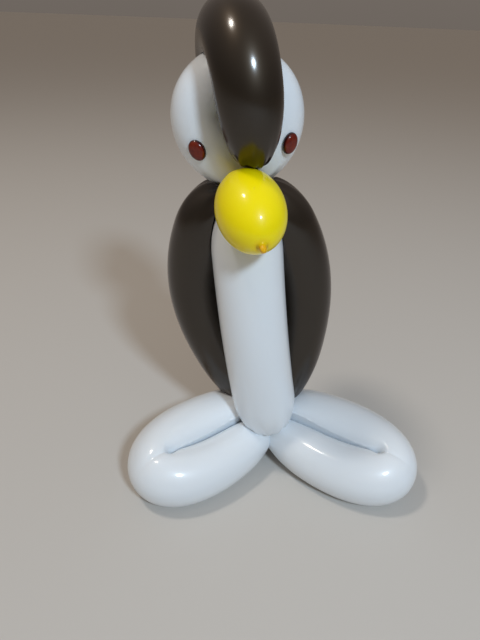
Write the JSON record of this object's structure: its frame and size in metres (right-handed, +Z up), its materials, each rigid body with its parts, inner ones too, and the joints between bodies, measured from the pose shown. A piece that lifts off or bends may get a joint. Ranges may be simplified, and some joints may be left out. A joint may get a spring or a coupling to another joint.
{
  "type": "balloon penguin",
  "caption": "Freestanding penguin twisted from modelling balloons: white foot loops, belly and face, black wings and head loop, yellow egg beak and low oval stick-on gem eyes",
  "frame": {"origin": "on the floor under the middle of the whole figure's bounding box", "axes": "+Z up, the longest extent of the figure, and -Y is the way the penguin faces; +X is towards the right-hand foot as seen from the front"},
  "size_m": [0.2256, 0.1478, 0.3343],
  "materials": {
    "white_latex": "smooth glossy inflated white latex",
    "black_latex": "smooth pearl black inflated latex with a soft metallic sheen",
    "yellow_latex": "smooth glossy inflated yellow latex",
    "eye_gem": "polished dark red domed resin"
  },
  "bodies": {
    "root": {"white_balloon": "white_latex", "black_balloon": "black_latex", "yellow_balloon": "yellow_latex", "left_eye_gem": "eye_gem", "right_eye_gem": "eye_gem"}
  },
  "joints": []
}
